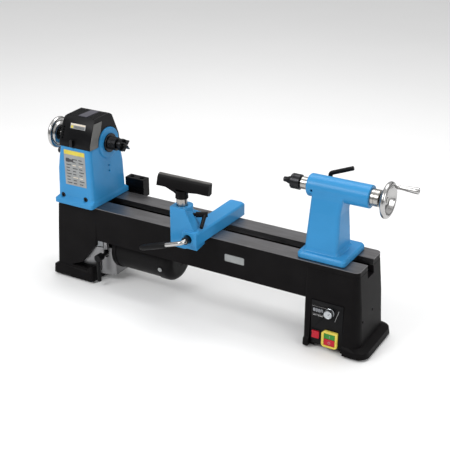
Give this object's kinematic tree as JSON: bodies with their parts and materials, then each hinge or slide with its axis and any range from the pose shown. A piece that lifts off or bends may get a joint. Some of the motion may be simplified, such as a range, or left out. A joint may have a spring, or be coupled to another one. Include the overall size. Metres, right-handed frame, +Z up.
{
  "type": "wood lathe",
  "caption": "Bench-top midi wood lathe: cast bed on legs, belt-driven headstock with hinged cover, swivelling tool-rest banjo, sliding tailstock with live centre and crank handwheel",
  "frame": {"origin": "On the ground, under the middle of the machine's bounding box; the spindle axis lies over the middle of the bed", "axes": "+X along the bed from the headstock to the tailstock, +Y to the back of the machine, +Z up; the operator stands on the -Y side"},
  "size_m": [0.9412, 0.3148, 0.4305],
  "materials": {
    "bed_casting": "fine-textured black enamel, ways machined bare",
    "foot_left_front": "moulded rubber",
    "foot_left_rear": "moulded rubber",
    "foot_right_front": "moulded rubber",
    "foot_right_rear": "moulded rubber",
    "tool_holder": "black enamel",
    "control_panel": "satin moulded plastic",
    "display_window": "dark display window",
    "control_box": "satin moulded plastic",
    "switch_frame": "yellow moulded plastic",
    "rocker_rim": "satin moulded plastic",
    "headstock_casting": "smooth semi-gloss enamel over cast iron",
    "head_bolt_left": "black-oxide steel",
    "head_bolt_right": "black-oxide steel",
    "front_bearing": "turned and ground steel",
    "rear_bearing": "turned and ground steel",
    "drive_belt": "moulded rubber",
    "spindle": "turned and ground steel",
    "spindle_pulley": "machined aluminium",
    "spindle_collar": "black-oxide steel",
    "spindle_lock_ring": "black-oxide steel",
    "spur_centre": "black-oxide steel",
    "outboard_handwheel": "polished plating",
    "belt_cover": "satin moulded plastic",
    "cover_top_panel": "satin grey plastic",
    "cover_side_plate": "satin grey plastic",
    "cover_latch": "black-oxide steel",
    "index_pin": "black-oxide steel",
    "motor_bracket": "machined aluminium",
    "motor_body": "black enamel",
    "motor_end_bell": "black enamel",
    "motor_shaft": "turned and ground steel",
    "motor_pulley": "machined aluminium",
    "motor_lock_lever": "satin moulded plastic",
    "banjo_clamp_plate": "turned and ground steel",
    "banjo_clamp_bolt": "turned and ground steel",
    "banjo_casting": "smooth semi-gloss enamel over cast iron",
    "banjo_cam_lever": "polished plating",
    "banjo_lever_grip": "satin moulded plastic",
    "post_lock_lever": "satin moulded plastic",
    "rest_post": "turned and ground steel",
    "tool_rest": "black enamel",
    "tailstock_casting": "smooth semi-gloss enamel over cast iron",
    "tail_bearing_sleeve": "turned and ground steel",
    "tail_clamp_plate": "turned and ground steel",
    "tail_clamp_bolt": "turned and ground steel",
    "tail_cam_lever": "polished plating",
    "tail_lever_grip": "satin moulded plastic",
    "tail_quill": "turned and ground steel",
    "live_centre_body": "black-oxide steel",
    "live_centre_point": "black-oxide steel",
    "quill_lock_lever": "satin moulded plastic",
    "tail_leadscrew": "turned and ground steel",
    "tail_handwheel": "polished plating",
    "crank_pin": "turned and ground steel",
    "crank_handle": "polished plating",
    "speed_knob": "machined aluminium",
    "power_rocker": "red moulded plastic",
    "start_button": "green moulded plastic",
    "stop_button": "red moulded plastic"
  },
  "bodies": {
    "bed": {"bed_casting": "bed_casting", "foot_left_front": "foot_left_front", "foot_left_rear": "foot_left_rear", "foot_right_front": "foot_right_front", "foot_right_rear": "foot_right_rear", "tool_holder": "tool_holder", "control_panel": "control_panel", "display_window": "display_window", "control_box": "control_box", "switch_frame": "switch_frame", "rocker_rim": "rocker_rim", "headstock_casting": "headstock_casting", "head_bolt_left": "head_bolt_left", "head_bolt_right": "head_bolt_right", "front_bearing": "front_bearing", "rear_bearing": "rear_bearing", "drive_belt": "drive_belt"},
    "spindle_group": {"spindle": "spindle", "spindle_pulley": "spindle_pulley", "spindle_collar": "spindle_collar", "spindle_lock_ring": "spindle_lock_ring", "spur_centre": "spur_centre", "outboard_handwheel": "outboard_handwheel"},
    "cover": {"belt_cover": "belt_cover", "cover_top_panel": "cover_top_panel", "cover_side_plate": "cover_side_plate", "cover_latch": "cover_latch"},
    "index_pin": {"index_pin": "index_pin"},
    "motor_carrier": {"motor_bracket": "motor_bracket", "motor_body": "motor_body", "motor_end_bell": "motor_end_bell"},
    "motor_rotor": {"motor_shaft": "motor_shaft", "motor_pulley": "motor_pulley"},
    "motor_lock": {"motor_lock_lever": "motor_lock_lever"},
    "banjo_clamp": {"banjo_clamp_plate": "banjo_clamp_plate"},
    "banjo_bolt": {"banjo_clamp_bolt": "banjo_clamp_bolt"},
    "banjo": {"banjo_casting": "banjo_casting"},
    "banjo_lever": {"banjo_cam_lever": "banjo_cam_lever", "banjo_lever_grip": "banjo_lever_grip"},
    "post_lock": {"post_lock_lever": "post_lock_lever"},
    "rest_post": {"rest_post": "rest_post"},
    "tool_rest": {"tool_rest": "tool_rest"},
    "tailstock": {"tailstock_casting": "tailstock_casting", "tail_bearing_sleeve": "tail_bearing_sleeve", "tail_clamp_plate": "tail_clamp_plate", "tail_clamp_bolt": "tail_clamp_bolt"},
    "tail_lever": {"tail_cam_lever": "tail_cam_lever", "tail_lever_grip": "tail_lever_grip"},
    "quill": {"tail_quill": "tail_quill", "live_centre_body": "live_centre_body"},
    "live_centre": {"live_centre_point": "live_centre_point"},
    "quill_lock": {"quill_lock_lever": "quill_lock_lever"},
    "tail_wheel": {"tail_leadscrew": "tail_leadscrew", "tail_handwheel": "tail_handwheel", "crank_pin": "crank_pin"},
    "crank_handle": {"crank_handle": "crank_handle"},
    "speed_knob": {"speed_knob": "speed_knob"},
    "power_rocker": {"power_rocker": "power_rocker"},
    "start_button": {"start_button": "start_button"},
    "stop_button": {"stop_button": "stop_button"}
  },
  "joints": [
    {"name": "spindle_spin", "type": "hinge", "parent": "bed", "child": "spindle_group", "pos_m": [-0.36, 0, 0.358], "axis": [1, 0, 0], "continuous": true},
    {"name": "cover_open", "type": "hinge", "parent": "bed", "child": "cover", "pos_m": [-0.358, 0.048, 0.359], "axis": [-1, 0, 0], "range_deg": [0, 85]},
    {"name": "index_pin_push", "type": "slide", "parent": "bed", "child": "index_pin", "axis": [1, 0, 0], "range_m": [0, 0.006]},
    {"name": "motor_tension", "type": "slide", "parent": "bed", "child": "motor_carrier", "axis": [0, 0, 1], "range_m": [0, 0.005], "deforming": ["drive_belt"]},
    {"name": "motor_spin", "type": "hinge", "parent": "motor_carrier", "child": "motor_rotor", "pos_m": [-0.35, 0, 0.0885], "axis": [1, 0, 0], "continuous": true},
    {"name": "motor_lock_turn", "type": "hinge", "parent": "bed", "child": "motor_lock", "pos_m": [-0.302, -0.07, 0.077], "axis": [0, -1, 0], "range_deg": [0, 40]},
    {"name": "banjo_along", "type": "slide", "parent": "bed", "child": "banjo_clamp", "axis": [1, 0, 0], "range_m": [-0.19, 0.13]},
    {"name": "banjo_swivel", "type": "hinge", "parent": "banjo_clamp", "child": "banjo_bolt", "pos_m": [-0.004, 0, 0.19], "axis": [0, 0, 1], "range_deg": [-5, 12]},
    {"name": "banjo_in_out", "type": "slide", "parent": "banjo_bolt", "child": "banjo", "axis": [0, 1, 0], "range_m": [-0.05, 0.002]},
    {"name": "banjo_lever_turn", "type": "hinge", "parent": "banjo", "child": "banjo_lever", "pos_m": [-0.004, -0.1, 0.22], "axis": [0, 1, 0], "range_deg": [-15, 90]},
    {"name": "post_lock_turn", "type": "hinge", "parent": "banjo", "child": "post_lock", "pos_m": [-0.0365, -0.097, 0.262], "axis": [0.848, 0.5299, 0], "range_deg": [-60, 5]},
    {"name": "rest_height", "type": "slide", "parent": "banjo", "child": "rest_post", "axis": [0, 0, 1], "range_m": [-0.015, 0.03]},
    {"name": "rest_swivel", "type": "hinge", "parent": "rest_post", "child": "tool_rest", "pos_m": [-0.0365, -0.097, 0.31], "axis": [0, 0, 1], "range_deg": [-45, 45]},
    {"name": "tailstock_along", "type": "slide", "parent": "bed", "child": "tailstock", "axis": [1, 0, 0], "range_m": [-0.19, 0.022]},
    {"name": "tail_lever_turn", "type": "hinge", "parent": "tailstock", "child": "tail_lever", "pos_m": [0.262, 0.1, 0.22], "axis": [0, 1, 0], "range_deg": [0, 80]},
    {"name": "quill_travel", "type": "slide", "parent": "tailstock", "child": "quill", "axis": [-1, 0, 0], "range_m": [-0.01, 0.05]},
    {"name": "tail_wheel_turn", "type": "hinge", "parent": "tailstock", "child": "tail_wheel", "pos_m": [0.41, 0, 0.358], "axis": [1, 0, 0], "range_deg": [-900, 4500]},
    {"name": "crank_spin", "type": "hinge", "parent": "tail_wheel", "child": "crank_handle", "pos_m": [0.445, 0.02658, 0.3803], "axis": [1, 0, 0], "continuous": true},
    {"name": "live_centre_spin", "type": "hinge", "parent": "quill", "child": "live_centre", "pos_m": [0.19, 0, 0.358], "axis": [1, 0, 0], "continuous": true},
    {"name": "quill_lock_turn", "type": "hinge", "parent": "tailstock", "child": "quill_lock", "pos_m": [0.264, 0.03, 0.358], "axis": [0, 1, 0], "range_deg": [-20, 30]},
    {"name": "speed_turn", "type": "hinge", "parent": "bed", "child": "speed_knob", "pos_m": [0.3276, -0.075, 0.0993], "axis": [0, -1, 0], "range_deg": [-135, 135]},
    {"name": "power_rock", "type": "hinge", "parent": "bed", "child": "power_rocker", "pos_m": [0.296, -0.064, 0.037], "axis": [1, 0, 0], "range_deg": [-5, 5]},
    {"name": "start_press", "type": "slide", "parent": "bed", "child": "start_button", "axis": [0, 1, 0], "range_m": [0, 0.0025], "stiffness_N_per_m": 400},
    {"name": "stop_press", "type": "slide", "parent": "bed", "child": "stop_button", "axis": [0, 1, 0], "range_m": [0, 0.0025], "stiffness_N_per_m": 400}
  ],
  "couplings": [
    {"joint": "motor_spin", "follows": "spindle_spin", "ratio": 1.1539},
    {"joint": "quill_travel", "follows": "tail_wheel_turn", "m_per_rad": 0.00063662}
  ]
}
